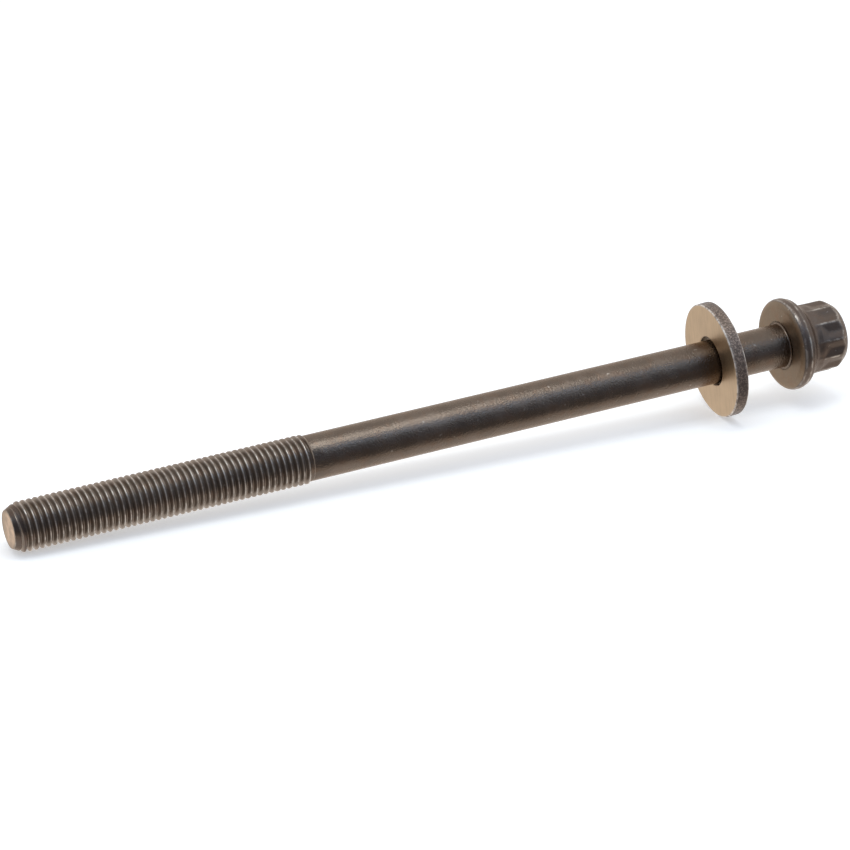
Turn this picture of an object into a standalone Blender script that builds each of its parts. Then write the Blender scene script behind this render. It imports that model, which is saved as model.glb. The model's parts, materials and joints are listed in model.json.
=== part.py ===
"""Cylinder head bolt with a twelve-point flanged head and a loose thick washer.

Sizes are in metres and +Z is up. The bolt lies on a flat surface, its threaded tip towards
-X and its head towards +X. It rests on the first full turn of its thread and on the rim of
the washer, which stands on the surface and carries the shank in its bore. The origin is on
the surface, below the middle of the object.

Each piece is drawn round its own axis, from the tip's side upwards, and then laid down.
"""
from math import asin, ceil, cos, pi, radians, sin, sqrt, tan

import bmesh
import bpy
from mathutils import Vector

# Thread: right-handed, with the standard metric section for its pitch
THREAD_RADIUS = 0.00594
THREAD_PITCH = 0.0015
THREAD_START = 0.00022
GROOVE_LENGTH = 0.0738
CREST_OVERRUN = 0.0003
RUNOUT_ANGLE = radians(30)

# Tip
TIP_CHAMFER_WIDTH = 0.00139
TIP_CHAMFER_LENGTH = 0.00265

# Shank
SHANK_RADIUS = 0.0055
LENGTH_UNDER_HEAD = 0.2042
HEAD_FILLET = 0.0008

# Flange, from its bearing face towards the head
FLANGE_OVERHANG = 0.00241
FLANGE_BEVEL_WIDTH = 0.00125
FLANGE_BEVEL_HEIGHT = 0.0009
FLANGE_EDGE_ROUNDING = 0.0006
FLANGE_RIM_HEIGHT = 0.0015
FLANGE_BACK_WIDTH = 0.00045
FLANGE_BACK_HEIGHT = 0.0013
FLANGE_CONE_ANGLE = radians(40)

# Neck, from the bearing face to where the valleys of the head run out
NECK_FILLET = 0.0035
NECK_STEP = 0.00039
NECK_END = 0.0077
VALLEY_RUNOUT = 0.0023

# Head with twelve points
HEAD_HEIGHT = 0.0153
HEAD_ACROSS_FLATS = 0.016
HEAD_POINTS = 12
HEAD_POINT_ROUNDING = 0.00048
HEAD_CHAMFER_WIDTH = 0.00174
HEAD_CHAMFER_HEIGHT = 0.0024

# Washer
WASHER_RADIUS = 0.0145
WASHER_THICKNESS = 0.0033
WASHER_EDGE_ROUNDING = 0.00045
WASHER_BORE_CHAMFER = 0.0002
WASHER_BORE_CLEARANCE = 0.00031
WASHER_TO_FLANGE = 0.0167
WASHER_LEAN = radians(4.1)
WASHER_YAW = radians(-3.8)

# Gap kept where the shank lies in the washer's bore
CONTACT_GAP = 0.0003

# Fineness of the round shapes, and distances that only help the joining and cutting
THREAD_STEPS = 20
TURNED_STEPS = 48
ARC_STEPS = 3
MERGE_DISTANCE = 0.000002
CORE_MARGIN = 0.00012
HEAD_CORE_MARGIN = 0.00004
HEAD_COVER = 0.002
CORE_LENGTH = 0.003
SHARP_ANGLE = radians(28)

# Finish: colour, roughness, metallic
BLACK_PHOSPHATE = ((0.085, 0.075, 0.07, 1.0), 0.42, 0.85)
TUMBLED_STEEL = ((0.3, 0.26, 0.22, 1.0), 0.45, 0.9)


def clear_scene():
    for scene_object in list(bpy.data.objects):
        bpy.data.objects.remove(scene_object, do_unlink=True)


def new_collection(name):
    collection = bpy.data.collections.new(name)
    bpy.context.scene.collection.children.link(collection)
    return collection


def make_material(name, colour, roughness, metallic):
    material = bpy.data.materials.new(name)
    material.use_nodes = True
    shader = material.node_tree.nodes["Principled BSDF"]
    shader.inputs["Base Color"].default_value = colour
    shader.inputs["Roughness"].default_value = roughness
    shader.inputs["Metallic"].default_value = metallic
    return material


def rounded(corners):
    """Outline through corners of (radius, height, rounding), rounded by tangent arcs.

    An arc takes at most half of either wall beside it.
    """
    outline = []
    for index, (radius, height, rounding) in enumerate(corners):
        corner = Vector((radius, height))
        if not rounding:
            outline.append(corner)
            continue
        before = Vector(corners[index - 1][:2]) - corner
        after = Vector(corners[index + 1][:2]) - corner
        half_angle = before.angle(after) / 2
        reach = min(rounding / tan(half_angle), before.length / 2, after.length / 2)
        before.normalize()
        after.normalize()
        middle = corner + (before + after).normalized() * reach / cos(half_angle)
        first = corner + before * reach - middle
        last = corner + after * reach - middle
        for step in range(ARC_STEPS + 1):
            spoke = first.slerp(last, step / ARC_STEPS)
            outline.append(middle + spoke.normalized() * first.length)
    return outline


def profile_object(name, outline, collection, steps, closed=False):
    """An outline of (radius, height) points, half a step round from +X.

    The half step puts a flat of the turned shape, and not a corner, on its underside
    when it lies down.
    """
    turn = pi / steps
    bm = bmesh.new()
    verts = [bm.verts.new((r * cos(turn), r * sin(turn), z)) for r, z in outline]
    for first, second in zip(verts, verts[1:]):
        bm.edges.new((first, second))
    if closed:
        bm.edges.new((verts[-1], verts[0]))
    mesh = bpy.data.meshes.new(name)
    bm.to_mesh(mesh)
    bm.free()
    piece = bpy.data.objects.new(name, mesh)
    collection.objects.link(piece)
    return piece


def turn_profile(piece, steps, rise=0.0, turns=1):
    screw = piece.modifiers.new("turn", "SCREW")
    screw.axis = "Z"
    screw.steps = steps
    screw.render_steps = steps
    screw.screw_offset = rise
    screw.iterations = turns
    screw.use_merge_vertices = True
    screw.merge_threshold = MERGE_DISTANCE


def turned(name, outline, collection, steps, closed=False):
    """A solid of revolution. The outline runs down its outer side."""
    piece = profile_object(name, outline, collection, steps, closed)
    turn_profile(piece, steps)
    return piece


def combine(piece, tool, operation):
    tool.hide_render = True
    tool.display_type = "WIRE"
    boolean = piece.modifiers.new(tool.name, "BOOLEAN")
    boolean.operation = operation
    boolean.solver = "EXACT"
    boolean.object = tool


def apply_modifiers(piece):
    depsgraph = bpy.context.evaluated_depsgraph_get()
    piece.data = bpy.data.meshes.new_from_object(piece.evaluated_get(depsgraph))
    piece.modifiers.clear()


def finish(piece, material):
    apply_modifiers(piece)
    piece.data.materials.clear()
    piece.data.materials.append(material)
    piece.data.shade_smooth()
    piece.data.set_sharp_from_angle(angle=SHARP_ANGLE)


def thread_depth():
    """Depth of an external metric thread, 17/24 of the height of its sharp triangle."""
    return THREAD_PITCH * sqrt(3) / 2 * 17 / 24


def root_radius():
    return THREAD_RADIUS - thread_depth()


def core_radius():
    """The thread's rod and the shank overlap in a core of this radius."""
    return min(root_radius(), SHANK_RADIUS) - CORE_MARGIN


def runout_length(radius):
    """Length over which the run-out changes from this radius to the shank's."""
    return (radius - SHANK_RADIUS) / tan(RUNOUT_ANGLE)


def point_radius():
    """Radius over the points, which are the corners of two hexagons."""
    return HEAD_ACROSS_FLATS / 2 / cos(pi / 6)


def valley_radius():
    return HEAD_ACROSS_FLATS / 2 / cos(pi / HEAD_POINTS)


def flange_radius():
    return point_radius() + FLANGE_OVERHANG


def flange_rim_end():
    return LENGTH_UNDER_HEAD + FLANGE_BEVEL_HEIGHT + FLANGE_RIM_HEIGHT


def overall_length():
    return LENGTH_UNDER_HEAD + HEAD_HEIGHT


def head_end_radius():
    return point_radius() - HEAD_CHAMFER_WIDTH


def washer_bore_radius():
    """The washer slides over the thread as well as over the shank."""
    return max(THREAD_RADIUS, SHANK_RADIUS) + WASHER_BORE_CLEARANCE


def washer_place():
    """Distance from the tip to the middle of the washer."""
    return LENGTH_UNDER_HEAD - WASHER_TO_FLANGE - WASHER_THICKNESS / 2


def thread_rod(tools):
    """Rod with the helical thread, chamfered at the tip, whose crest sinks into the shank."""
    margin = THREAD_PITCH / 2
    crest_end = GROOVE_LENGTH + CREST_OVERRUN
    core_end = crest_end - runout_length(core_radius()) + CORE_LENGTH
    start = THREAD_START - 2 * THREAD_PITCH
    half_root = THREAD_PITCH / 12
    half_mouth = THREAD_PITCH * 7 / 16
    section = [
        (root_radius(), start + THREAD_PITCH + half_root),
        (root_radius(), start + THREAD_PITCH - half_root),
        (THREAD_RADIUS, start + THREAD_PITCH - half_mouth),
        (THREAD_RADIUS, start + half_mouth),
        (root_radius(), start + half_root),
    ]
    rod = profile_object("thread rod", section, tools, THREAD_STEPS)
    turns = ceil((core_end + margin - start) / THREAD_PITCH) + 1
    turn_profile(rod, THREAD_STEPS, THREAD_PITCH, turns)
    apply_modifiers(rod)

    bm = bmesh.new()
    bm.from_mesh(rod.data)
    bmesh.ops.remove_doubles(bm, verts=bm.verts, dist=MERGE_DISTANCE)
    for height, direction in ((-margin, -1), (core_end + margin, 1)):
        bmesh.ops.bisect_plane(
            bm, geom=bm.verts[:] + bm.edges[:] + bm.faces[:], dist=MERGE_DISTANCE / 10,
            plane_co=(0, 0, height), plane_no=(0, 0, direction), clear_outer=True)
    bmesh.ops.holes_fill(bm, edges=bm.edges, sides=0)
    bmesh.ops.recalc_face_normals(bm, faces=bm.faces)
    bm.to_mesh(rod.data)
    bm.free()

    outer = THREAD_RADIUS + margin
    slope = TIP_CHAMFER_LENGTH / TIP_CHAMFER_WIDTH
    outline = [
        (0.0, core_end),
        (core_radius(), core_end),
        (core_radius(), crest_end - runout_length(core_radius())),
        (outer, crest_end - runout_length(outer)),
        (outer, TIP_CHAMFER_LENGTH + margin * slope),
        (THREAD_RADIUS - TIP_CHAMFER_WIDTH, 0.0),
        (0.0, 0.0),
    ]
    combine(rod, turned("thread ends", outline, tools, 2 * THREAD_STEPS), "INTERSECT")
    return rod


def head_star(tools):
    """Twelve-point prism, with a chamfer turned on its free end."""
    bm = bmesh.new()
    made = bmesh.ops.create_circle(
        bm, cap_ends=True, segments=2 * HEAD_POINTS, radius=point_radius())
    for valley in made["verts"][::2]:
        valley.co *= valley_radius() / point_radius()
    bmesh.ops.bevel(
        bm, geom=made["verts"][1::2], offset=HEAD_POINT_ROUNDING, segments=1,
        profile=0.5, affect="VERTICES")
    grown = bmesh.ops.extrude_face_region(bm, geom=bm.faces[:])
    raised = [item for item in grown["geom"] if isinstance(item, bmesh.types.BMVert)]
    height = overall_length() + HEAD_COVER - flange_rim_end()
    bmesh.ops.translate(bm, verts=raised, vec=(0, 0, height))
    bmesh.ops.translate(bm, verts=bm.verts, vec=(0, 0, flange_rim_end()))
    bmesh.ops.recalc_face_normals(bm, faces=bm.faces)
    mesh = bpy.data.meshes.new("head star")
    bm.to_mesh(mesh)
    bm.free()
    star = bpy.data.objects.new("head star", mesh)
    tools.objects.link(star)

    slope = HEAD_CHAMFER_HEIGHT / HEAD_CHAMFER_WIDTH
    outer = point_radius() + HEAD_CHAMFER_WIDTH
    outline = [
        (0.0, overall_length()),
        (head_end_radius(), overall_length()),
        (outer, overall_length() - (outer - head_end_radius()) * slope),
        (outer, LENGTH_UNDER_HEAD),
        (0.0, LENGTH_UNDER_HEAD),
    ]
    combine(star, turned("head turning", outline, tools, TURNED_STEPS), "INTERSECT")
    return star


def make_bolt(collection, tools):
    """Shank, fillet, flange and neck as one turned shape, joined to thread and head.

    Past the neck it narrows to a core inside the head, and so gives each valley its run-out.
    """
    head_core = valley_radius() - HEAD_CORE_MARGIN
    neck_radius = point_radius() - NECK_STEP
    neck_end = LENGTH_UNDER_HEAD + NECK_END
    back_radius = flange_radius() - FLANGE_BACK_WIDTH
    back = flange_rim_end() + FLANGE_BACK_HEIGHT
    cone_end = back + (back_radius - neck_radius) * tan(FLANGE_CONE_ANGLE)
    corners = [
        (0.0, overall_length() - HEAD_COVER, 0.0),
        (head_core, overall_length() - HEAD_COVER, 0.0),
        (head_core, neck_end + VALLEY_RUNOUT, 0.0),
        (neck_radius, neck_end, 0.0),
        (neck_radius, cone_end, NECK_FILLET),
        (back_radius, back, 0.0),
        (flange_radius(), flange_rim_end(), 0.0),
        (flange_radius(), LENGTH_UNDER_HEAD + FLANGE_BEVEL_HEIGHT, FLANGE_EDGE_ROUNDING),
        (flange_radius() - FLANGE_BEVEL_WIDTH, LENGTH_UNDER_HEAD, 0.0),
        (SHANK_RADIUS, LENGTH_UNDER_HEAD, HEAD_FILLET),
        (SHANK_RADIUS, GROOVE_LENGTH, 0.0),
        (core_radius(), GROOVE_LENGTH + runout_length(core_radius()), 0.0),
        (0.0, GROOVE_LENGTH + runout_length(core_radius()), 0.0),
    ]
    bolt = turned("bolt", rounded(corners), collection, TURNED_STEPS)
    combine(bolt, head_star(tools), "UNION")
    combine(bolt, thread_rod(tools), "UNION")
    return bolt


def make_washer(collection):
    """Thick ring, drawn from the middle of its thickness."""
    half = WASHER_THICKNESS / 2
    bore = washer_bore_radius()
    corners = [
        (bore + WASHER_BORE_CHAMFER, half, 0.0),
        (WASHER_RADIUS, half, WASHER_EDGE_ROUNDING),
        (WASHER_RADIUS, -half, WASHER_EDGE_ROUNDING),
        (bore + WASHER_BORE_CHAMFER, -half, 0.0),
        (bore, -half + WASHER_BORE_CHAMFER, 0.0),
        (bore, half - WASHER_BORE_CHAMFER, 0.0),
    ]
    return turned("washer", rounded(corners), collection, TURNED_STEPS, closed=True)


def flat(radius, steps):
    """Distance from the axis to the middle of a flat of the turned shape."""
    return radius * cos(pi / steps)


def washer_height(pitch):
    """Height of the washer's middle as it stands on the rounded edge of its front."""
    edge_place = WASHER_THICKNESS / 2 - WASHER_EDGE_ROUNDING
    return flat(WASHER_RADIUS, TURNED_STEPS) * cos(pitch) + edge_place * sin(pitch)


def tip_height(pitch):
    """Height of the middle of the tip's face, with the first full turn on the surface."""
    return flat(THREAD_RADIUS, THREAD_STEPS) * cos(pitch) - TIP_CHAMFER_LENGTH * sin(pitch)


def resting_pitch():
    """Slope of the bolt's axis with the shank on the far lower edge of the bore."""
    pitch = 0.0
    seat_depth = WASHER_THICKNESS / 2 - WASHER_BORE_CHAMFER
    bore = flat(washer_bore_radius(), TURNED_STEPS)
    for _ in range(30):
        lean = pitch + WASHER_LEAN
        seat = washer_height(lean) + seat_depth * sin(lean) - bore * cos(lean)
        axis_height = seat + CONTACT_GAP + flat(SHANK_RADIUS, TURNED_STEPS) * cos(pitch)
        reach = washer_place() + seat_depth
        pitch = asin((axis_height - tip_height(pitch)) / reach)
    return pitch


def lay_down(bolt, washer):
    """Turns both pieces from upright to lying, with the origin below their middle."""
    pitch = resting_pitch()
    back_end = (TIP_CHAMFER_WIDTH - THREAD_RADIUS) * sin(pitch)
    front_end = overall_length() * cos(pitch) + head_end_radius() * sin(pitch)
    tip = -(back_end + front_end) / 2
    lean = pitch + WASHER_LEAN
    bolt.rotation_euler = (0.0, pi / 2 - pitch, 0.0)
    bolt.location = (tip, 0.0, tip_height(pitch))
    washer.rotation_euler = (0.0, pi / 2 - lean, WASHER_YAW)
    washer.location = (tip + washer_place() * cos(pitch), 0.0, washer_height(lean))


def main():
    clear_scene()
    parts = new_collection("cylinder head bolt")
    tools = new_collection("joining shapes")
    bolt = make_bolt(parts, tools)
    washer = make_washer(parts)
    finish(bolt, make_material("black phosphate", *BLACK_PHOSPHATE))
    finish(washer, make_material("tumbled steel", *TUMBLED_STEEL))
    lay_down(bolt, washer)


main()
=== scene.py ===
"""Cylinder head bolt with its loose washer, in fine form and with its finishes.

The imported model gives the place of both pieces. Each is modelled again round its own
axis with a rounded thread, worn edges and the softened points of the head, and stands
for its CAD node. Sizes are in metres and +Z is up.
"""
import json
from math import ceil, cos, exp, hypot, pi, radians, sqrt, tan

import bmesh
import bpy
from bpy.props import FloatProperty, FloatVectorProperty, IntProperty, PointerProperty
from mathutils import Matrix, Vector


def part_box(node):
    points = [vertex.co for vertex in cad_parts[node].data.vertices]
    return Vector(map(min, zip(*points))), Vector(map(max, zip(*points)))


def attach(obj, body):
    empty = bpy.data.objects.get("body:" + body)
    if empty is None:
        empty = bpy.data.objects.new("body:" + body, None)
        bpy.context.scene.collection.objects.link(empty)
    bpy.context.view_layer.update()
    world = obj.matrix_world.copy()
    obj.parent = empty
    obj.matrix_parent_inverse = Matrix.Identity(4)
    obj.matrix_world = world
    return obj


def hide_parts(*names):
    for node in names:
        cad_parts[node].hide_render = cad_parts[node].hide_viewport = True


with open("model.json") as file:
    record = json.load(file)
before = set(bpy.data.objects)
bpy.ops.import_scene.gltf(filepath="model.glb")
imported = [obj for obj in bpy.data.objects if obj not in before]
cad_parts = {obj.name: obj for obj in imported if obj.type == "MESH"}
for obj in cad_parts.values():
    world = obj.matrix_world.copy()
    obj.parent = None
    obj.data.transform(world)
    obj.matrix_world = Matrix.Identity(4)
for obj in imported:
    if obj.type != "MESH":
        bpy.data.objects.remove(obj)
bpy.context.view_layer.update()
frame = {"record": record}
MOUNTS = {mount["name"]: mount for mount in frame["record"]["mounts"]}

# The standard metric thread, its lengths in pitches
FLANK_ANGLE = radians(30)
HALF_MOUTH = 7 / 16
GROOVE_DEPTH = sqrt(3) / 2 * 17 / 24
ROOT_ROUNDING = sqrt(3) / 12

# The angle from the middle of a hexagon's flat to its point
FLAT_TO_POINT = pi / 6

# The helix starts this many turns before the tip, and is then cut off there
EARLY_TURNS = 3

# Distances in the mesh work that count as nothing
CUT_DISTANCE = 1e-8
MERGE_DISTANCE = 1e-7
TINY = 1e-6

SHARP_ANGLE = radians(32)
WHITE = (1.0, 1.0, 1.0, 1.0)

# Sockets of a Mix node that is set to colours
MIX_FACTOR = 0
MIX_FIRST = 6
MIX_SECOND = 7
MIX_RESULT = 2

bl_info = {
    "name": "Cylinder head bolt",
    "version": (1, 0, 0),
    "blender": (4, 5, 0),
    "location": "3D View > Sidebar > Head bolt",
    "description": "Models a flanged cylinder head bolt with its washer on a pale floor",
    "category": "Object",
}


def length(name, description, default):
    """A size in metres."""
    return FloatProperty(
        name=name, description=description, default=default, unit="LENGTH", precision=5)


def angle(name, description, default):
    """An angle, written in degrees."""
    return FloatProperty(
        name=name, description=description, default=radians(default), subtype="ANGLE")


def amount(name, description, default):
    """A plain factor."""
    return FloatProperty(name=name, description=description, default=default, min=0.0)


def count(name, description, default):
    """A whole number of points or sections."""
    return IntProperty(name=name, description=description, default=default, min=3)


def power(name, description, default):
    """The power of a lamp, in watts."""
    return FloatProperty(
        name=name, description=description, default=default, min=0.0, unit="POWER")


def colour(name, description, default):
    """A linear colour."""
    return FloatVectorProperty(
        name=name, description=description, default=default, size=3, subtype="COLOR",
        min=0.0, max=1.0)


def position(name, description, default):
    """A place in metres."""
    return FloatVectorProperty(
        name=name, description=description, default=default, size=3,
        subtype="TRANSLATION", precision=6)


def lengths(name, description, *default):
    """A few sizes in metres, such as a length and a width, or the ends of a smooth step."""
    return FloatVectorProperty(
        name=name, description=description, default=default, size=len(default),
        unit="LENGTH", precision=5)


def numbers(name, description, *default):
    """A few plain numbers."""
    return FloatVectorProperty(
        name=name, description=description, default=default, size=len(default), precision=3)


def noise(name, description, fineness, detail, roughness, *levels):
    """A noise, and for spots the two levels between which they show."""
    return numbers(name, description, fineness, detail, roughness, *levels)


class ThreadSizes(bpy.types.PropertyGroup):
    radius: length("Radius", "Radius over the thread's crests", 0.00594)
    pitch: length("Pitch", "Distance from crest to crest", 0.0015)
    start: length("Start", "Place of a groove's middle on the underside", 0.00022)
    groove_length: length("Groove length", "Length to where the groove ends", 0.0738)
    crest_overrun: length("Crest overrun", "Length of the crest past the groove", 0.0003)
    crest_rounding: length("Crest rounding", "Rounding of the crest's corners", 0.00006)
    runout_angle: angle("Run-out angle", "Slope of the thread's last turn", 30.0)
    chamfer_width: length("Chamfer width", "Radial width of the tip's chamfer", 0.00139)
    chamfer_length: length("Chamfer length", "Length of the tip's chamfer", 0.00265)
    chamfer_skin: length("Chamfer skin", "Depth that counts as the chamfer's own", 0.00004)
    core_margin: length("Core margin", "Distance of the core below the root", 0.00012)
    arc_steps: count("Arc steps", "Sections in a rounded corner", 4)
    steps: count("Steps", "Sections in a turn", 72)


class ShankSizes(bpy.types.PropertyGroup):
    radius: length("Radius", "Radius of the plain shank", 0.0055)
    length_under_head: length("Length", "Length from the tip to the flange", 0.2042)
    head_fillet: length("Fillet", "Fillet between shank and flange", 0.0008)
    fillet_share: amount("Fillet share", "Share of the fillet that is rounded", 0.98)
    overlap: length("Overlap", "Reach of the shank into the flange", 0.00002)
    longest: length("Longest", "Longest stretch between two sections", 0.004)
    arc_steps: count("Arc steps", "Sections in a rounded corner", 8)
    steps: count("Steps", "Sections round the shank", 128)


class HeadSizes(bpy.types.PropertyGroup):
    height: length("Height", "Height of the head with its flange", 0.0153)
    across_flats: length("Across flats", "Width over opposite flats", 0.016)
    points: count("Points", "Number of points", 12)
    point_softness: angle("Point softness", "Rounding of the points", 3.6)
    valley_softness: angle("Valley softness", "Rounding of the valleys", 2.0)
    chamfer_width: length("Chamfer width", "Radial width of the end chamfer", 0.00174)
    chamfer_height: length("Chamfer height", "Height of the end chamfer", 0.0024)
    flange_overhang: length("Flange overhang", "Flange's reach past the points", 0.00241)
    bevel_width: length("Bevel width", "Width of the flange's front bevel", 0.00125)
    bevel_height: length("Bevel height", "Height of the flange's front bevel", 0.0009)
    bearing_share: amount("Bearing share", "Share of the bevel in the bearing's finish", 0.6)
    edge_rounding: length("Edge rounding", "Rounding between bevel and rim", 0.0018)
    face_rounding: length("Face rounding", "Rounding between face and bevel", 0.002)
    end_rounding: length("End rounding", "Softness between chamfer and points", 0.0005)
    rim_height: length("Rim height", "Height of the flange's rim", 0.0015)
    rim_rounding: length("Rim rounding", "Rounding of the rim's back edge", 0.00025)
    back_width: length("Back width", "Width of the step behind the rim", 0.00045)
    back_height: length("Back height", "Height of the step behind the rim", 0.0013)
    back_rounding: length("Back rounding", "Rounding between step and cone", 0.0012)
    cone_angle: angle("Cone angle", "Slope of the flange's cone", 40.0)
    neck_fillet: length("Neck fillet", "Fillet between cone and neck", 0.0035)
    neck_step: length("Neck step", "Distance of the neck below the points", 0.00039)
    neck_end: length("Neck end", "Place where the valleys begin to deepen", 0.0077)
    neck_rounding: length("Neck rounding", "Rounding at the neck's end", 0.0015)
    valley_runout: length("Valley run-out", "Length over which a valley deepens", 0.0023)
    core_margin: length("Core margin", "Distance of the core below the valleys", 0.00004)
    blend: length("Blend", "Softness where the points leave the neck", 0.0002)
    longest: length("Longest", "Longest stretch between two sections", 0.00028)
    arc_steps: count("Arc steps", "Sections in a rounded corner", 7)
    steps: count("Steps", "Sections round the head", 288)


class WasherSizes(bpy.types.PropertyGroup):
    radius: length("Radius", "Outer radius", 0.0145)
    thickness: length("Thickness", "Thickness", 0.0033)
    bore_radius: length("Bore radius", "Radius of the bore", 0.00625)
    bore_chamfer: length("Bore chamfer", "Chamfer of the bore's edges", 0.0002)
    edge_rounding: length("Edge rounding", "Rounding of the outer edges", 0.00045)
    rim_share: amount("Rim share", "Share of the rounding in the rim's finish", 0.6)
    longest: length("Longest", "Longest stretch between two sections", 0.00059)
    arc_steps: count("Arc steps", "Sections in a rounded corner", 6)
    steps: count("Steps", "Sections round the washer", 192)


class WearSizes(bpy.types.PropertyGroup):
    crest: length("Crest", "Width of the rubbed crests", 0.0001)
    tip: lengths("Tip", "Length and width of the tip's rubbed edge", 0.00012, 0.0001)
    point: angle("Point", "Width of the head's rubbed points", 1.4)
    point_rise: length("Point rise", "Height at which a point is rubbed in full", 0.0003)
    on_chamfer: amount("On chamfer", "Wear of the points on the end chamfer", 0.3)
    end: length("End", "Width of the end chamfer's rubbed edge", 0.0002)
    end_strength: amount("End strength", "Wear of the end chamfer's edge", 0.7)
    rim: lengths("Rim", "Length and width of the rubbed back edge", 0.00022, 0.0003)
    rim_strength: amount("Rim strength", "Wear of the rim's back edge", 0.8)
    front_inset: length("Front inset", "Place of the front edge's wear below the rim", 0.0002)
    front: lengths("Front", "Length and width of the rubbed front edge", 0.0003, 0.0002)
    front_strength: amount("Front strength", "Wear of the front edge", 0.65)
    washer: length("Washer", "Width of the washer's rubbed edges", 0.0002)
    washer_inset: amount("Washer inset", "Share of the rounding from corner to arc", 0.3)


class FinishColours(bpy.types.PropertyGroup):
    phosphate: colour("Phosphate", "Dark coating of the bolt", (0.126, 0.099, 0.080))
    thread: colour("Thread", "Coating of the thread", (0.178, 0.146, 0.122))
    head: colour("Head", "Coating of the head", (0.098, 0.076, 0.064))
    bearing: colour("Bearing face", "Olive coating under the flange", (0.192, 0.142, 0.098))
    edge_tint: colour("Edge tint", "Tint of the coating at a grazing look", (1.0, 0.90, 0.82))
    worn: colour("Worn edge", "Steel where the coating is rubbed off", (0.53, 0.48, 0.43))
    bare: colour("Bare steel", "Turned face of the tip", (0.488, 0.333, 0.215))
    washer_face: colour("Washer face", "Ground face of the washer", (0.48, 0.333, 0.198))
    washer_rim: colour("Washer rim", "Rough rim of the washer", (0.152, 0.113, 0.091))


class CoatingLook(bpy.types.PropertyGroup):
    patches: noise("Patches", "Broad light patches", 150.0, 4.0, 0.55, 0.35, 0.7)
    stains: noise("Stains", "Rusty stains", 420.0, 3.0, 0.55, 0.45, 0.7)
    flecks: noise("Flecks", "Small bare flecks", 700.0, 1.0, 0.55, 0.74, 0.78)
    breaks: noise("Breaks", "Breaks in the rubbed edges", 650.0, 3.0, 0.55, 0.42, 0.6)
    grain: noise("Grain", "Fine grain", 2600.0, 2.0, 0.55)
    dents: noise("Dents", "Shallow dents", 1600.0, 3.0, 0.6)
    light: amount("Light", "Brightness of patches and dents", 1.5)
    patch_share: amount("Patch share", "Share of the patches in the light tone", 0.6)
    stain_tint: numbers("Stain tint", "Red, green and blue of the stains", 1.3, 1.05, 0.9)
    stain_and_side_darkening_strength: amount("Stain strength", "Strength of the stains", 0.4)
    dark: amount("Dark", "Brightness of the grain", 0.6)
    grain_strength: amount("Grain strength", "Strength of the grain", 0.35)
    fleck_strength: amount("Fleck strength", "Strength of the flecks", 0.3)
    break_strength: amount("Break strength", "Depth of the breaks in the wear", 0.8)
    roughness_spread: amount("Roughness spread", "Rise of roughness on spots", 0.08)
    polish: amount("Polish", "Drop of roughness on rubbed edges", 0.06)
    relief: numbers("Relief", "Height of grain, dents and patches", 0.55, 0.65, 0.2)


class TipLook(bpy.types.PropertyGroup):
    clouds: noise("Clouds", "Faint clouds", 420.0, 3.0, 0.55, 0.3, 0.7)
    tones: numbers("Tones", "Brightness between and on the clouds", 1.25, 0.75)
    # Painted dark reflection at the face's edge, drawn as a darker ring
    painted_edge_span: lengths("Edge span", "Radii between which the edge darkens", 0.0036, 0.0045)
    painted_edge_strength: amount("Edge strength", "Strength of the dark edge", 0.75)
    painted_edge_dark: amount("Edge dark", "Brightness of the dark edge", 0.4)
    # Darker towards one side across the axis, by place alone
    side_darkening_span: lengths("Stain span", "Places between which a stain darkens", 0.0, 0.0042)
    stain_and_side_darkening_strength: amount("Stain strength", "Strength of the stain", 0.8)
    side_darkening_level: amount("Stain dark", "Brightness of the stain", 0.6)


class WasherLook(bpy.types.PropertyGroup):
    clouds: noise("Clouds", "Faint clouds on the faces", 160.0, 4.0, 0.55, 0.3, 0.7)
    cloud_strength: amount("Cloud strength", "Strength of the clouds", 0.5)
    cloud_dark: amount("Cloud dark", "Brightness of the clouds", 0.82)
    lines: noise("Lines", "Grinding lines", 800.0, 3.0, 0.55, 0.4, 0.7)
    line_scale: numbers("Line scale", "Scale down, across and through", 0.2, 2.0, 1.0)
    line_strength: amount("Line strength", "Strength of the lines", 0.35)
    line_dark: amount("Line dark", "Brightness of the lines", 0.7)
    line_relief: amount("Line relief", "Share of the lines in the relief", 0.8)
    speckle: noise("Speckle", "Speckle of the rim", 2200.0, 4.0, 0.7, 0.46, 0.62)
    rim_tones: numbers("Rim tones", "Brightness between and on the speckle", 0.75, 2.0)
    speckle_relief: amount("Speckle relief", "Share of the speckle in the relief", 0.5)
    breaks: noise("Breaks", "Breaks in the rubbed edges", 800.0, 3.0, 0.55, 0.38, 0.56)
    break_strength: amount("Break strength", "Depth of the breaks in the wear", 0.75)
    worn_light: amount("Worn light", "Brightness of the rubbed edges", 1.5)
    grain: noise("Grain", "Fine grain", 1900.0, 3.0, 0.6)
    face_grain: amount("Face grain", "Share of the grain in the faces' relief", 0.3)
    roughness: amount("Roughness", "Roughness of the faces", 0.40)
    rim_roughness: amount("Rim roughness", "Rise of roughness on the rim", 0.08)
    rim_scale: amount("Rim scale", "Drop of metallic on the rim's scale", 0.35)
    bore_scale: amount("Bore scale", "Drop of metallic in the bore", 0.6)


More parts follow.
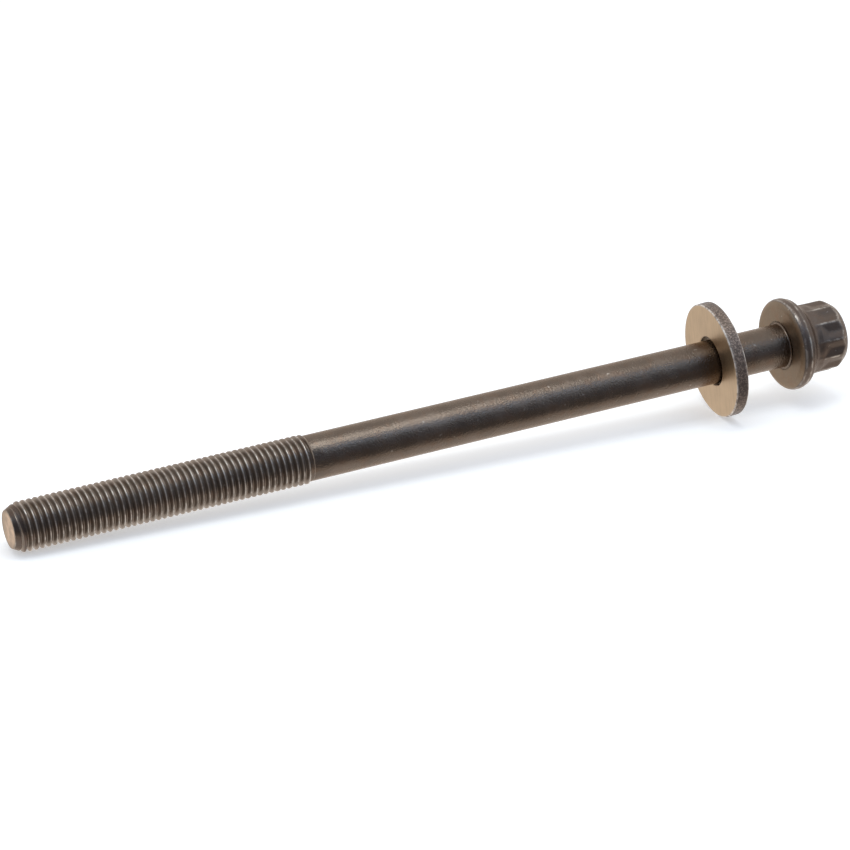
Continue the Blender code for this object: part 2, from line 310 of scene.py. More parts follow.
class StageSettings(bpy.types.PropertyGroup):
    floor: colour("Floor", "Colour of the floor", (0.80, 0.80, 0.80))
    floor_size: length("Floor size", "Side of the floor", 12.0)
    floor_drop: length("Floor drop", "Distance of the floor below the origin", 0.0001)
    floor_lift: amount("Floor lift", "Light added to the floor in view", 0.42)
    floor_mirrored: amount("Floor mirrored", "Brightness of the floor in reflections", 1.1)
    world_back: colour("Back", "Room behind the object", (1.0, 1.0, 1.0))
    world_edge: colour("Edge", "Room between back and front", (0.66, 0.81, 1.0))
    world_front: colour("Front", "Room on the viewer's side", (0.22, 0.24, 0.30))
    toward_back: numbers("Toward back", "Direction of the room's back", 0.40, 0.80, 0.45)
    front_span: numbers("Front span", "Levels from the front to the edge", -0.36, -0.02)
    back_span: numbers("Back span", "Levels from the edge to the back", 0.0, 0.35)
    # The card glows and is seen only in reflections: a painted reflection of the floor
    flag: colour("Flag", "Dark card in front, seen only in reflections", (0.24, 0.23, 0.235))
    flag_near: colour("Flag edge", "Colour of the card's near edge", (1.0, 0.92, 0.84))
    flag_size: length("Flag size", "Side of the dark card", 1.6)
    flag_height: length("Flag height", "Height of the card over the origin", 0.0001)
    flag_distance: length("Flag distance", "From the object's middle to the card", 0.0098)
    flag_fade: length("Flag fade", "Length over which the card turns dark", 0.013)
    flag_notch: length("Flag notch", "How much further the card is from the head", 0.0145)
    notch_span: lengths("Notch span", "Places from the shank to the head", 0.085, 0.105)
    flag_tip: length("Flag tip", "How much further the card is from the thread", 0.004)
    tip_span: lengths("Tip span", "Places from the shank to the thread", 0.025, 0.045)
    lamp_power: power("Lamp power", "Power of the soft lamp overhead", 0.37)
    lamp_colour: colour("Lamp colour", "Colour of the soft lamp", (0.90, 0.97, 1.0))
    lamp_sides: lengths("Lamp sides", "Sides along the object and across", 0.27, 0.135)
    lamp_place: position("Lamp place", "Place of the soft lamp", (0.0, -0.052, 0.33))
    strip_power: power("Strip power", "Power of the blue strip in front of the lamp", 0.065)
    strip_colour: colour("Strip colour", "Colour of the blue strip", (0.24, 0.50, 1.0))
    strip_sides: lengths("Strip sides", "Sides along the object and across", 0.22, 0.07)
    strip_place: position("Strip place", "Place of the blue strip", (0.12, -0.222, 0.33))
    camera_place: position(
        "Camera place", "Place of the camera", (-0.323652, -0.658334, 0.326221))
    camera_turn: FloatVectorProperty(
        name="Camera turn", description="Rotation of the camera", size=3, subtype="EULER",
        precision=6, default=(radians(66.7493), radians(0.0085), radians(-25.8636)))
    focal_length: amount("Focal length", "In millimetres, on a 36 mm sensor", 141.035)


class HeadBoltSettings(bpy.types.PropertyGroup):
    thread: PointerProperty(type=ThreadSizes)
    shank: PointerProperty(type=ShankSizes)
    head: PointerProperty(type=HeadSizes)
    washer: PointerProperty(type=WasherSizes)
    wear: PointerProperty(type=WearSizes)
    finish: PointerProperty(type=FinishColours)
    coating_look: PointerProperty(type=CoatingLook)
    tip_look: PointerProperty(type=TipLook)
    washer_look: PointerProperty(type=WasherLook)
    stage: PointerProperty(type=StageSettings)


class Value:
    """A socket of a material that takes part in Python's arithmetic."""

    def __init__(self, shader, socket):
        self.shader = shader
        self.socket = socket

    def __add__(self, other):
        return self.shader.math("ADD", self, other)

    def __sub__(self, other):
        return self.shader.math("SUBTRACT", self, other)

    def __rsub__(self, other):
        return self.shader.math("SUBTRACT", other, self)

    def __mul__(self, other):
        return self.shader.math("MULTIPLY", self, other)

    def __pow__(self, other):
        return self.shader.math("POWER", self, other)

    __radd__ = __add__
    __rmul__ = __mul__


class Shader:
    """Builds the nodes of one material or world."""

    def __init__(self, tree):
        self.tree = tree
        self.tree.nodes.clear()

    def node(self, kind, settings=None, values=None):
        """A node with its settings, then the values or links of its sockets."""
        node = self.tree.nodes.new(kind)
        for name, setting in (settings or {}).items():
            setattr(node, name, setting)
        for name, value in (values or {}).items():
            socket = node.inputs[name]
            if isinstance(value, Value):
                self.tree.links.new(value.socket, socket)
            else:
                socket.default_value = value
        return node

    def value(self, kind, settings=None, values=None, output=0):
        return Value(self, self.node(kind, settings, values).outputs[output])

    def outputs(self, kind, names, values=None):
        """Several outputs of one node, in the order of their names."""
        node = self.node(kind, None, values)
        return [Value(self, node.outputs[name]) for name in names]

    def math(self, operation, *terms):
        values = dict(enumerate(terms))
        return self.value("ShaderNodeMath", {"operation": operation}, values)

    def mix(self, factor, first, second):
        """Colour between first and second."""
        settings = {"data_type": "RGBA", "clamp_factor": True}
        values = {MIX_FACTOR: factor, MIX_FIRST: opaque(first), MIX_SECOND: opaque(second)}
        return self.value("ShaderNodeMix", settings, values, MIX_RESULT)

    def between(self, value, low, high):
        """0 below low and 1 above high, with a smooth step from one to the other."""
        settings = {"interpolation_type": "SMOOTHSTEP"}
        values = {"Value": value, "From Min": low, "From Max": high}
        return self.value("ShaderNodeMapRange", settings, values)

    def noise(self, vector, fineness, detail, roughness):
        values = {"Vector": vector, "Scale": fineness, "Detail": detail,
                  "Roughness": roughness}
        return self.value("ShaderNodeTexNoise", None, values)

    def spots(self, vector, look):
        """A noise that shows between the two levels at the end of its look."""
        return self.between(self.noise(vector, *look[:3]), *look[3:])

    def bump(self, height, distance, strength):
        values = {"Strength": strength, "Distance": distance, "Height": height}
        return self.value("ShaderNodeBump", None, values)

    def attribute(self, name):
        settings = {"attribute_type": "GEOMETRY", "attribute_name": name}
        return self.value("ShaderNodeAttribute", settings, output="Fac")

    def finish(self, surface):
        """Gives the material its surface."""
        self.node("ShaderNodeOutputMaterial", None, {"Surface": surface})


def opaque(shade):
    """A socket as it is, or a colour with its alpha."""
    if isinstance(shade, Value):
        return shade
    return (*shade[:3], 1.0)


def brightened(shade, factor):
    return [channel * factor for channel in shade]


def chosen():
    """The sizes, colours and looks of the panel."""
    return bpy.context.scene.head_bolt


def placement(origin, axis):
    """Matrix that stands a piece drawn round +Z on an axis, its own +X turned down."""
    along = Vector(axis).normalized()
    side = Vector((0.0, 0.0, 1.0)).cross(along).normalized()
    matrix = Matrix((side.cross(along), side, along)).transposed().to_4x4()
    matrix.translation = origin
    return matrix


def bolt_placement():
    """The bolt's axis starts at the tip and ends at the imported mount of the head's end."""
    sizes = chosen()
    mount = MOUNTS["head_end"]
    axis = Vector(mount["axis"]).normalized()
    overall = sizes.shank.length_under_head + sizes.head.height
    return placement(Vector(mount["pos_m"]) - axis * overall, axis)


def washer_placement():
    """The washer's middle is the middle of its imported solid."""
    low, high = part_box("washer")
    return placement((Vector(low) + Vector(high)) / 2, -Vector(MOUNTS["washer_front"]["axis"]))


def rounded(corners, steps):
    """Outline through corners of (radius, height, rounding), rounded by tangent arcs."""
    outline = []
    for index, (radius, height, rounding) in enumerate(corners):
        corner = Vector((radius, height))
        if not rounding:
            outline.append(corner)
            continue
        before = Vector(corners[index - 1][:2]) - corner
        after = Vector(corners[(index + 1) % len(corners)][:2]) - corner
        half_angle = before.angle(after) / 2
        reach = min(rounding / tan(half_angle), before.length / 2, after.length / 2)
        before.normalize()
        after.normalize()
        middle = corner + (before + after).normalized() * reach / cos(half_angle)
        first = corner + before * reach - middle
        last = corner + after * reach - middle
        for step in range(steps + 1):
            spoke = first.slerp(last, step / steps)
            outline.append(middle + spoke.normalized() * first.length)
    return outline


def divided(outline, longest):
    """The outline with more points, so that no stretch is longer than this."""
    points = [outline[0]]
    for start, end in zip(outline, outline[1:]):
        parts = max(1, ceil((end - start).length / longest))
        points += [start.lerp(end, part / parts) for part in range(1, parts + 1)]
    return points


def draw_outline(outline, closed=False):
    bm = bmesh.new()
    verts = [bm.verts.new((radius, 0.0, height)) for radius, height in outline]
    for first, second in zip(verts, verts[1:]):
        bm.edges.new((first, second))
    if closed:
        bm.edges.new((verts[-1], verts[0]))
    return bm


def everything(bm):
    return bm.verts[:] + bm.edges[:] + bm.faces[:]


def lathe(outline, steps, closed=False):
    """A closed shape turned round +Z."""
    bm = draw_outline(outline, closed)
    bmesh.ops.spin(
        bm, geom=everything(bm), cent=(0, 0, 0), axis=(0, 0, 1), dvec=(0, 0, 0),
        angle=2 * pi, steps=steps, use_merge=True, use_duplicate=False)
    bmesh.ops.remove_doubles(bm, verts=bm.verts, dist=MERGE_DISTANCE)
    bmesh.ops.recalc_face_normals(bm, faces=bm.faces)
    return bm


def trim(bm, low, high):
    """Cuts off what lies below low or above high, and leaves both ends open."""
    for height, direction in ((low, -1), (high, 1)):
        bmesh.ops.bisect_plane(
            bm, geom=everything(bm), dist=CUT_DISTANCE, plane_co=(0, 0, height),
            plane_no=(0, 0, direction), clear_outer=True)


def from_axis(point):
    return hypot(point.x, point.y)


def scale_across(point, factor):
    """Moves a point towards the axis or away from it."""
    point.x *= factor
    point.y *= factor


def finish_piece(bm, name, matrix, materials, node):
    """Places the mesh, and makes it stand for its CAD node."""
    bmesh.ops.transform(bm, matrix=matrix, verts=bm.verts)
    mesh = bpy.data.meshes.new(name)
    bm.to_mesh(mesh)
    bm.free()
    for material in materials:
        mesh.materials.append(material)
    mesh.shade_smooth()
    mesh.set_sharp_from_angle(angle=SHARP_ANGLE)
    piece = bpy.data.objects.new(name, mesh)
    bpy.context.scene.collection.objects.link(piece)
    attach(piece, "root")
    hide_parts(node)


def bump_near(value, place, width):
    """1 at a place, fading to 0 over about its width."""
    return exp(-((value - place) / width) ** 2)


def near_ring(point, height, radius, sizes):
    """1 on a ring round the axis, fading to 0 over its length and its width."""
    length, width = sizes
    return bump_near(point.z, height, length) * bump_near(from_axis(point), radius, width)


def soft_max(first, second, softness):
    gap = max(softness - abs(first - second), 0.0) / softness
    return max(first, second) + gap * gap * softness / 4


def soft_min(first, second, softness):
    return -soft_max(-first, -second, softness)


def core_radius(thread, shank):
    """Radius of the rod that carries the thread's run-out, inside root and shank."""
    root = thread.radius - thread.pitch * GROOVE_DEPTH
    return min(root, shank.radius) - thread.core_margin


def chamfer_radius(thread, height):
    """Radius of the tip's chamfer at a height over the tip."""
    tip_radius = thread.radius - thread.chamfer_width
    return tip_radius + height * thread.chamfer_width / thread.chamfer_length


def thread_outline(thread):
    """One pitch of the thread's section, from crest to crest, with a rounded root."""
    pitch = thread.pitch
    half_mouth = pitch * HALF_MOUTH
    sharp_root = thread.radius - half_mouth / tan(FLANK_ANGLE)
    corners = [
        (thread.radius, pitch / 2, 0.0),
        (thread.radius, half_mouth, thread.crest_rounding),
        (sharp_root, 0.0, pitch * ROOT_ROUNDING),
        (thread.radius, -half_mouth, thread.crest_rounding),
        (thread.radius, -pitch / 2, 0.0),
    ]
    return divided(rounded(corners, thread.arc_steps), pitch / 6)


def thread_mesh(thread, shank):
    """The rod with its helix, cut to the tip's chamfer and sunk into the shank."""
    core = core_radius(thread, shank)
    slope = tan(thread.runout_angle)
    crest_end = thread.groove_length + thread.crest_overrun
    end = crest_end + (shank.radius - core) / slope
    start = thread.start - EARLY_TURNS * thread.pitch
    bm = draw_outline([point + Vector((0.0, start)) for point in thread_outline(thread)])
    bmesh.ops.spin(
        bm, geom=everything(bm), cent=(0, 0, 0), axis=(0, 0, 1),
        dvec=(0, 0, thread.pitch / thread.steps), angle=2 * pi, steps=thread.steps,
        use_merge=False, use_duplicate=False)
    turns = 1
    while turns * thread.pitch < end - start + thread.pitch:
        copy = bmesh.ops.duplicate(bm, geom=everything(bm))
        moved = [item for item in copy["geom"] if isinstance(item, bmesh.types.BMVert)]
        bmesh.ops.translate(bm, verts=moved, vec=(0, 0, turns * thread.pitch))
        turns *= 2
    trim(bm, -thread.pitch / 2, end + thread.pitch / 2)
    bmesh.ops.remove_doubles(bm, verts=bm.verts, dist=TINY)
    for vert in bm.verts:
        radius = from_axis(vert.co)
        sunk = shank.radius + (crest_end - vert.co.z) * slope
        limit = min(chamfer_radius(thread, vert.co.z), max(sunk, core))
        if radius > limit:
            scale_across(vert.co, limit / radius)
    trim(bm, 0.0, end)
    bmesh.ops.holes_fill(bm, edges=bm.edges, sides=0)
    bmesh.ops.recalc_face_normals(bm, faces=bm.faces)
    return bm


def mark_thread(bm, thread, wear):
    """Wear on the crests and the tip's edge, and the finishes of tip and chamfer."""
    worn = bm.verts.layers.float.new("wear")
    tip_radius = chamfer_radius(thread, 0.0)
    for vert in bm.verts:
        on_crest = bump_near(from_axis(vert.co), thread.radius, wear.crest)
        on_tip = near_ring(vert.co, 0.0, tip_radius, wear.tip)
        vert[worn] = max(on_crest, on_tip)
    for face in bm.faces:
        middle = face.calc_center_median()
        if middle.z < TINY:
            face.material_index = 1
        elif from_axis(middle) > chamfer_radius(thread, middle.z) - thread.chamfer_skin:
            face.material_index = 2


def shank_mesh(thread, shank):
    """The plain shank, from the cone that fills the last grooves to the flange."""
    core = core_radius(thread, shank)
    cone_start = thread.groove_length - (shank.radius - core) / tan(thread.runout_angle)
    end = shank.length_under_head
    fillet_end = shank.radius + shank.head_fillet
    corners = [
        (0.0, end + shank.overlap, 0.0),
        (fillet_end, end + shank.overlap, 0.0),
        (fillet_end - TINY, end, 0.0),
        (shank.radius, end, shank.head_fillet * shank.fillet_share),
        (shank.radius, thread.groove_length, 0.0),
        (core, cone_start, 0.0),
        (0.0, cone_start, 0.0),
    ]
    return lathe(divided(rounded(corners, shank.arc_steps), shank.longest), shank.steps)


def point_radius(head):
    return head.across_flats / 2 / cos(FLAT_TO_POINT)


def head_outline(shank, head):
    """Head's core, neck and flange as a turned outline, down to the bearing face."""
    base = shank.length_under_head
    top = base + head.height
    core = head.across_flats / 2 / cos(pi / head.points) - head.core_margin
    neck = point_radius(head) - head.neck_step
    flange = point_radius(head) + head.flange_overhang
    rim_start = base + head.bevel_height
    rim_end = rim_start + head.rim_height
    back_radius = flange - head.back_width
    back = rim_end + head.back_height
    cone_end = back + (back_radius - neck) * tan(head.cone_angle)
    corners = [
        (core, top, 0.0),
        (core, base + head.neck_end + head.valley_runout, 0.0),
        (neck, base + head.neck_end, head.neck_rounding),
        (neck, cone_end, head.neck_fillet),
        (back_radius, back, head.back_rounding),
        (flange, rim_end, head.rim_rounding),
        (flange, rim_start, head.edge_rounding),
        (flange - head.bevel_width, base, head.face_rounding),
        (0.0, base, 0.0),
    ]
    return [Vector((0.0, top))] + divided(rounded(corners, head.arc_steps), head.longest)


def from_point(head, around):
    """Angle from a direction to the middle of the nearest point, with its sign."""
    sector = 2 * pi / head.points
    return ((around / sector) % 1.0 - 0.5) * sector


def star_radius(head, around):
    """Radius of the twelve-point section in a direction, its points and valleys rounded."""
    half_sector = pi / head.points
    from_valley = half_sector - abs(from_point(head, around))
    away = max(half_sector - hypot(from_valley, head.valley_softness), 0.0)
    return head.across_flats / 2 / cos(FLAT_TO_POINT - hypot(away, head.point_softness))


def head_mesh(shank, head, wear):
    """The flange with the twelve points, whose valleys run out in its neck."""
    bm = lathe(head_outline(shank, head), head.steps)
    worn = bm.verts.layers.float.new("wear")
    rim_end = shank.length_under_head + head.bevel_height + head.rim_height
    top = shank.length_under_head + head.height
    end_radius = point_radius(head) - head.chamfer_width
    slope = head.chamfer_width / head.chamfer_height
    for vert in bm.verts:
        turned = from_axis(vert.co)
        if vert.co.z < rim_end or turned < TINY:
            continue
        around = vert.co.xy.angle_signed(Vector((1.0, 0.0)))
        star = star_radius(head, around)
        shaped = soft_max(turned, star, head.blend)
        chamfer = end_radius + (top - vert.co.z) * slope
        scale_across(vert.co, soft_min(shaped, chamfer, head.end_rounding) / turned)
        if vert.co.z < top - TINY:
            on_point = bump_near(from_point(head, around), 0.0, wear.point)
            on_point *= min(max(star - turned, 0.0) / wear.point_rise, 1.0)
            if chamfer <= shaped:
                on_point *= wear.on_chamfer
            on_end = bump_near(shaped, chamfer, wear.end) if shaped > end_radius else 0.0
            vert[worn] = max(on_point, wear.end_strength * on_end)
    return bm


def mark_head(bm, shank, head, wear):
    """Wear on the flange's edges, and the finish of the bearing face."""
    worn = bm.verts.layers.float["wear"]
    rim_start = shank.length_under_head + head.bevel_height
    rim_end = rim_start + head.rim_height
    flange = point_radius(head) + head.flange_overhang
    front = flange - wear.front_inset
    for vert in bm.verts:
        on_rim = near_ring(vert.co, rim_end, flange, wear.rim)
        on_front = near_ring(vert.co, rim_start, front, wear.front)
        vert[worn] = max(
            vert[worn], on_rim * wear.rim_strength, on_front * wear.front_strength)
    bearing_end = shank.length_under_head + head.bevel_height * head.bearing_share
    for face in bm.faces:
        if face.calc_center_median().z < bearing_end:
            face.material_index = 1


def washer_mesh(washer, wear):
    """A thick ring, with marks for its rim, its bore and the worn edges of its faces."""
    half = washer.thickness / 2
    inner = washer.bore_radius + washer.bore_chamfer
    corners = [
        (inner, half, 0.0),
        (washer.radius, half, washer.edge_rounding),
        (washer.radius, -half, washer.edge_rounding),
        (inner, -half, 0.0),
        (washer.bore_radius, -half + washer.bore_chamfer, 0.0),
        (washer.bore_radius, half - washer.bore_chamfer, 0.0),
        (inner, half, 0.0),
    ]
    outline = divided(rounded(corners, washer.arc_steps), washer.longest)[:-1]
    bm = lathe(outline, washer.steps, closed=True)
    worn = bm.verts.layers.float.new("wear")
    rim = bm.verts.layers.float.new("rim")
    bore = bm.verts.layers.float.new("bore")
    inset = washer.edge_rounding * wear.washer_inset
    rim_start = washer.radius - washer.edge_rounding * washer.rim_share
    bore_end = inner - washer.bore_chamfer / 2
    for vert in bm.verts:
        radius = from_axis(vert.co)
        height = abs(vert.co.z)
        corner = hypot(radius - (washer.radius - inset), height - (half - inset))
        vert[worn] = bump_near(corner, 0.0, wear.washer)
        vert[rim] = 1.0 if radius > rim_start else 0.0
        vert[bore] = 1.0 if radius < bore_end else 0.0
    return bm


def make_material(name):
    material = bpy.data.materials.new(name)
    material.use_nodes = True
    return material, Shader(material.node_tree)


def along_axis(shader, matrix, scale=(1.0, 1.0, 1.0)):
    """Object coordinates turned so that Z runs along the piece's own axis."""
    place = shader.value("ShaderNodeTexCoord", output="Object")
    values = {"Vector": place, "Location": matrix.translation[:],
              "Rotation": matrix.to_euler()[:]}
    turned = shader.value("ShaderNodeMapping", {"vector_type": "TEXTURE"}, values)
    values = {"Vector": turned, "Scale": scale}
    return shader.value("ShaderNodeMapping", {"vector_type": "POINT"}, values)


def phosphate_material(name, matrix, coating, wear, roughness, unevenness, metallic=1.0):
    """Dark satin phosphate with faint patches, stains, flecks, fine grain, dents and wear."""
    finish = chosen().finish
    look = chosen().coating_look
    material, shader = make_material(name)
    place = along_axis(shader, matrix)
    patches = shader.spots(place, look.patches)
    grain = shader.noise(place, *look.grain)
    dents = shader.noise(place, *look.dents)
    lighter = patches * look.patch_share + dents * (1.0 - look.patch_share)
    tone = shader.mix(lighter, coating, brightened(coating, look.light))
    rusty = [channel * tint for channel, tint in zip(coating, look.stain_tint)]
    tone = shader.mix(shader.spots(place, look.stains) * look.stain_and_side_darkening_strength, tone, rusty)
    tone = shader.mix(grain * look.grain_strength, tone, brightened(coating, look.dark))
    flecks = shader.spots(place, look.flecks) * look.fleck_strength
    tone = shader.mix(flecks, tone, finish.worn)
    breaks = shader.spots(place, look.breaks) * look.break_strength
    worn = shader.attribute("wear") * (breaks + (1.0 - look.break_strength)) * wear
    grain_height, dent_height, patch_height = look.relief
    height = grain * grain_height + dents * dent_height + patches * patch_height
    spread = (patches + dents) * look.roughness_spread
    shader.finish(shader.value("ShaderNodeBsdfPrincipled", None, {
        "Base Color": shader.mix(worn, tone, finish.worn),
        "Roughness": spread + roughness - worn * look.polish,
        "Metallic": metallic,
        "Specular Tint": opaque(finish.edge_tint),
        "Normal": shader.bump(height, distance=0.00016, strength=unevenness)}))
    return material


def bare_material(name, matrix):
    """Turned end face, with fine rings, a painted dark reflection round its edge, and darker
    towards one side.
    """
    bare = chosen().finish.bare
    look = chosen().tip_look
    material, shader = make_material(name)
    place = along_axis(shader, matrix)
    rings = shader.value("ShaderNodeTexWave", {
        "wave_type": "RINGS", "rings_direction": "Z"}, {
        "Vector": place, "Scale": 900.0, "Distortion": 1.2})
    clouds = shader.spots(place, look.clouds)
    between, cloudy = [brightened(bare, tone) for tone in look.tones]
    tone = shader.mix(clouds, between, cloudy)
    down, across = shader.outputs("ShaderNodeSeparateXYZ", ("X", "Y"), {"Vector": place})
    radius = (down ** 2.0 + across ** 2.0) ** 0.5
    # Painted dark reflection: a darker ring at the face's edge
    edge = shader.between(radius, *look.painted_edge_span) * look.painted_edge_strength
    tone = shader.mix(edge, tone, brightened(bare, look.painted_edge_dark))
    # Darker towards one side across the axis, by place alone
    side_darkening = shader.between(across, *look.side_darkening_span) * look.stain_and_side_darkening_strength
    tone = shader.mix(side_darkening, tone, brightened(bare, look.side_darkening_level))
    height = (rings + clouds) * 0.5
    shader.finish(shader.value("ShaderNodeBsdfPrincipled", None, {
        "Base Color": tone, "Roughness": 0.42, "Metallic": 1.0,
        "Normal": shader.bump(height, distance=0.00005, strength=0.3)}))
    return material


def washer_material(name, matrix):
    """Ground tan faces, a rough dark rim, and bright broken lines on the edges."""
    finish = chosen().finish
    look = chosen().washer_look
    material, shader = make_material(name)
    place = along_axis(shader, matrix)
    rim = shader.attribute("rim")
    clouds = shader.spots(place, look.clouds) * look.cloud_strength
    face = shader.mix(
        clouds, finish.washer_face, brightened(finish.washer_face, look.cloud_dark))
    lines = shader.noise(along_axis(shader, matrix, look.line_scale), *look.lines[:3])
    dark_lines = shader.between(lines, *look.lines[3:]) * look.line_strength
    face = shader.mix(dark_lines, face, brightened(finish.washer_face, look.line_dark))
    speckle = shader.spots(place, look.speckle)
    between, speckled = [brightened(finish.washer_rim, tone) for tone in look.rim_tones]
    band = shader.mix(speckle, between, speckled)
    breaks = shader.spots(place, look.breaks) * look.break_strength
    worn = shader.attribute("wear") * (breaks + (1.0 - look.break_strength))
    base = shader.mix(
        worn, shader.mix(rim, face, band), brightened(finish.worn, look.worn_light))
    grain = shader.noise(place, *look.grain)
    height = grain * (rim * (1.0 - look.face_grain) + look.face_grain)
    height = height + lines * (1.0 - rim) * look.line_relief
    height = height + speckle * rim * look.speckle_relief
    dulled = rim * (1.0 - worn) * look.rim_scale
    shader.finish(shader.value("ShaderNodeBsdfPrincipled", None, {
        "Base Color": base,
        "Roughness": rim * look.rim_roughness + look.roughness,
        "Metallic": 1.0 - dulled - shader.attribute("bore") * look.bore_scale,
        "Normal": shader.bump(height, distance=0.00005, strength=0.35)}))
    return material


class HEADBOLT_OT_thread(bpy.types.Operator):
    """Model the threaded end of the bolt"""

    bl_idname = "head_bolt.thread"
    bl_label = "Thread"

    def execute(self, context):
        sizes = chosen()
        matrix = bolt_placement()
        bm = thread_mesh(sizes.thread, sizes.shank)
        mark_thread(bm, sizes.thread, sizes.wear)
        materials = [
            phosphate_material(
                "thread phosphate", matrix, sizes.finish.thread,
                wear=0.8, roughness=0.28, unevenness=0.2, metallic=0.9),
            bare_material("turned tip", matrix),
            phosphate_material(
                "chamfer phosphate", matrix, sizes.finish.head,
                wear=0.6, roughness=0.23, unevenness=0.3),
        ]
        finish_piece(bm, "bolt_thread", matrix, materials, "bolt")
        return {"FINISHED"}


class HEADBOLT_OT_shank(bpy.types.Operator):
    """Model the plain shank with its fillet"""

    bl_idname = "head_bolt.shank"
    bl_label = "Shank"

    def execute(self, context):
        sizes = chosen()
        matrix = bolt_placement()
        bm = shank_mesh(sizes.thread, sizes.shank)
        materials = [
            phosphate_material(
                "shank phosphate", matrix, sizes.finish.phosphate,
                wear=0.0, roughness=0.20, unevenness=0.7),
        ]
        finish_piece(bm, "bolt_shank", matrix, materials, "bolt")
        return {"FINISHED"}


class HEADBOLT_OT_head(bpy.types.Operator):
    """Model the flange and the twelve-point head"""

    bl_idname = "head_bolt.head"
    bl_label = "Head"

    def execute(self, context):
        sizes = chosen()
        matrix = bolt_placement()
        bm = head_mesh(sizes.shank, sizes.head, sizes.wear)
        mark_head(bm, sizes.shank, sizes.head, sizes.wear)
        materials = [
            phosphate_material(
                "head phosphate", matrix, sizes.finish.head,
                wear=0.9, roughness=0.26, unevenness=0.45, metallic=0.8),
            phosphate_material(
                "bearing phosphate", matrix, sizes.finish.bearing,
                wear=0.3, roughness=0.34, unevenness=0.3, metallic=0.87),
        ]
        finish_piece(bm, "bolt_head", matrix, materials, "bolt")
        return {"FINISHED"}


class HEADBOLT_OT_washer(bpy.types.Operator):
    """Model the loose washer"""

    bl_idname = "head_bolt.washer"
    bl_label = "Washer"

    def execute(self, context):
        sizes = chosen()
        matrix = washer_placement()
        bm = washer_mesh(sizes.washer, sizes.wear)
        materials = [washer_material("washer steel", matrix)]
        finish_piece(bm, "loose_washer", matrix, materials, "washer")
        return {"FINISHED"}


def make_sheet(name, side, place, material):
    """A flat square that belongs to the stage."""
    bm = bmesh.new()
    bmesh.ops.create_grid(bm, x_segments=1, y_segments=1, size=side / 2)
    bmesh.ops.translate(bm, verts=bm.verts, vec=place)
    mesh = bpy.data.meshes.new(name)
    bm.to_mesh(mesh)
    bm.free()
    mesh.materials.append(material)
    sheet = bpy.data.objects.new(name, mesh)
    bpy.context.scene.collection.objects.link(sheet)
    return sheet


def floor_material():
    """Pale floor, lifted to white where it is seen or mirrored, with its shadows kept."""
    stage = chosen().stage
    material, shader = make_material("pale floor")
    seen, mirrored, through = shader.outputs(
        "ShaderNodeLightPath", ("Is Camera Ray", "Is Glossy Ray", "Is Transmission Ray"))
    matt = shader.value("ShaderNodeBsdfDiffuse", None, {"Color": opaque(stage.floor)})
    lift = shader.value("ShaderNodeEmission", None, {
        "Color": WHITE, "Strength": stage.floor_lift})
    lifted = shader.value("ShaderNodeAddShader", None, {0: matt, 1: lift})
    in_view = shader.math("MAXIMUM", seen, through)
    shown = shader.value("ShaderNodeMixShader", None, {0: in_view, 1: matt, 2: lifted})
    white = shader.value("ShaderNodeEmission", None, {
        "Color": WHITE, "Strength": stage.floor_mirrored})
    shader.finish(
        shader.value("ShaderNodeMixShader", None, {0: mirrored, 1: shown, 2: white}))
    return material


def make_floor():
    stage = chosen().stage
    floor = make_sheet("floor", stage.floor_size, (0, 0, -stage.floor_drop), floor_material())


def flag_material():
    """Glowing card whose colours are a painted reflection of the floor: pale by the object and
    dark further off.
    """
    stage = chosen().stage
    material, shader = make_material("dark card")
    place = shader.value("ShaderNodeTexCoord", output="Object")
    along, across = shader.outputs("ShaderNodeSeparateXYZ", ("X", "Y"), {"Vector": place})
    by_head = shader.between(along, *stage.notch_span) * stage.flag_notch
    by_thread = shader.between(-1.0 * along, *stage.tip_span) * stage.flag_tip
    distance = -1.0 * across - (by_head + by_thread)
    dark = shader.between(distance, stage.flag_distance, stage.flag_distance + stage.flag_fade)
    shade = shader.mix(dark, stage.flag_near, stage.flag)
    shader.finish(shader.value("ShaderNodeEmission", None, {"Color": shade}))
    return material


def make_flag():
    """Dark card in front of the object, out of sight, that darkens its mirrored side."""
    stage = chosen().stage
    place = (0, -stage.flag_distance - stage.flag_size / 2, stage.flag_height)
    flag = make_sheet("flag", stage.flag_size, place, flag_material())
    flag.visible_camera = False
    flag.visible_diffuse = False
    flag.visible_shadow = False


def make_world():
    """White room behind the object, dim on the viewer's side, and white in view."""
    stage = chosen().stage
    world = bpy.data.worlds.new("studio")
    world.use_nodes = True
    shader = Shader(world.node_tree)
    direction = shader.value("ShaderNodeTexCoord", output="Generated")
    level = shader.value(
        "ShaderNodeVectorMath", {"operation": "DOT_PRODUCT"},
        {0: direction, 1: stage.toward_back}, "Value")
    room = shader.mix(
        shader.between(level, *stage.front_span), stage.world_front, stage.world_edge)
    room = shader.mix(shader.between(level, *stage.back_span), room, stage.world_back)
    seen = shader.value("ShaderNodeLightPath", output="Is Camera Ray")
    surface = shader.value("ShaderNodeBackground", None, {
        "Color": shader.mix(seen, room, WHITE), "Strength": 1.0})
    shader.node("ShaderNodeOutputWorld", None, {"Surface": surface})
    bpy.context.scene.world = world


def make_lamp(name, energy, shade, sides, place):
    """Rectangular lamp that looks at the origin."""
    light = bpy.data.lights.new(name, "AREA")
    light.shape = "RECTANGLE"
    light.size, light.size_y = sides
    light.energy = energy
    light.color = shade
    lamp = bpy.data.objects.new(name, light)
    lamp.location = place
    lamp.rotation_euler = lamp.location.to_track_quat("Z", "Y").to_euler()
    bpy.context.scene.collection.objects.link(lamp)


def make_lamps():
    stage = chosen().stage
    make_lamp(
        "soft lamp", stage.lamp_power, stage.lamp_colour, stage.lamp_sides, stage.lamp_place)
    make_lamp(
        "blue strip", stage.strip_power, stage.strip_colour, stage.strip_sides,
        stage.strip_place)


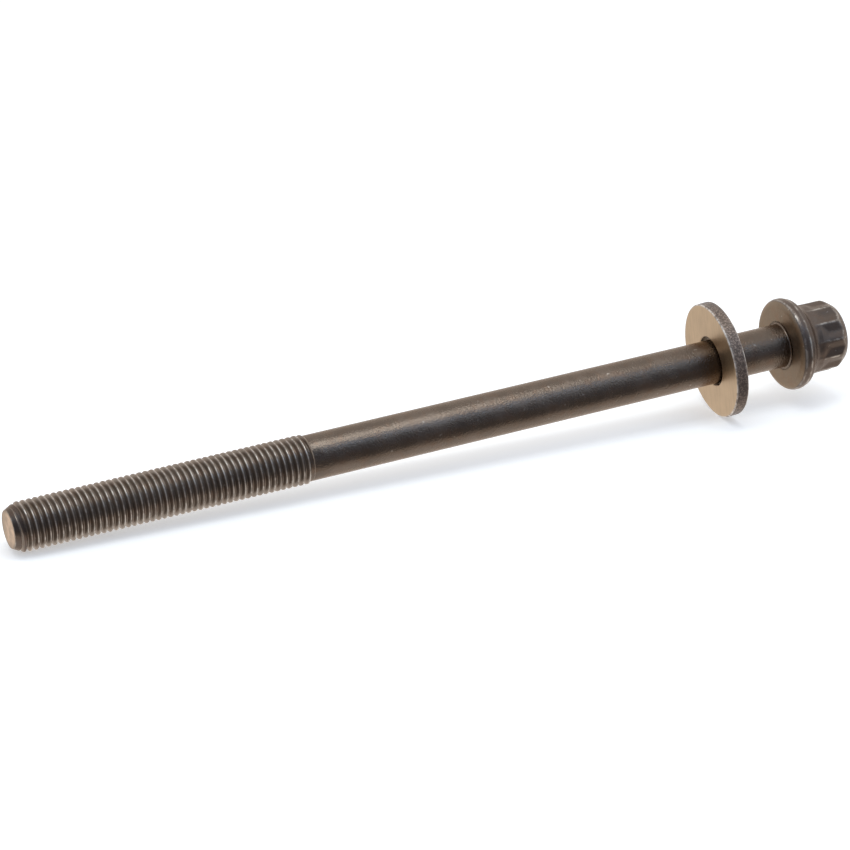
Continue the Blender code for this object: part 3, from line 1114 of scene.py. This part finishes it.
def make_camera():
    stage = chosen().stage
    data = bpy.data.cameras.new("camera")
    data.sensor_width = 36.0
    data.lens = stage.focal_length
    data.clip_start = 0.01
    data.clip_end = 100.0
    camera = bpy.data.objects.new("camera", data)
    camera.location = stage.camera_place
    camera.rotation_euler = stage.camera_turn
    bpy.context.scene.collection.objects.link(camera)
    bpy.context.scene.camera = camera


class HEADBOLT_OT_stage(bpy.types.Operator):
    """Set up the floor, the light and the camera"""

    bl_idname = "head_bolt.stage"
    bl_label = "Floor, light and camera"

    def execute(self, context):
        make_floor()
        make_flag()
        make_world()
        make_lamps()
        make_camera()
        context.scene.view_settings.view_transform = "Standard"
        return {"FINISHED"}


def list_values(box, groups):
    """A line in the panel for each value of the groups."""
    for group in groups:
        values = getattr(chosen(), group)
        for name in values.__annotations__:
            box.prop(values, name)


class HEADBOLT_PT_panel(bpy.types.Panel):
    """Buttons for the pieces and their sizes"""

    bl_idname = "HEADBOLT_PT_panel"
    bl_label = "Head bolt"
    bl_space_type = "VIEW_3D"
    bl_region_type = "UI"
    bl_category = "Head bolt"

    def draw(self, context):
        for operator, groups in PIECES:
            box = self.layout.box()
            box.operator(operator)
            list_values(box, groups)
        list_values(self.layout.box(), SHARED)


PIECES = (
    ("head_bolt.thread", ("thread", "tip_look")),
    ("head_bolt.shank", ("shank",)),
    ("head_bolt.head", ("head",)),
    ("head_bolt.washer", ("washer", "washer_look")),
    ("head_bolt.stage", ("stage",)),
)

SHARED = ("finish", "coating_look", "wear")

CLASSES = (
    ThreadSizes, ShankSizes, HeadSizes, WasherSizes, WearSizes, FinishColours, CoatingLook,
    TipLook, WasherLook, StageSettings, HeadBoltSettings, HEADBOLT_OT_thread,
    HEADBOLT_OT_shank, HEADBOLT_OT_head, HEADBOLT_OT_washer, HEADBOLT_OT_stage,
    HEADBOLT_PT_panel,
)


def register():
    for item in CLASSES:
        bpy.utils.register_class(item)
    bpy.types.Scene.head_bolt = PointerProperty(type=HeadBoltSettings)


def unregister():
    del bpy.types.Scene.head_bolt
    for item in reversed(CLASSES):
        bpy.utils.unregister_class(item)


def main():
    register()
    for operator, _ in PIECES:
        group, name = operator.split(".")
        getattr(getattr(bpy.ops, group), name)()


if __name__ == "__main__":
    main()
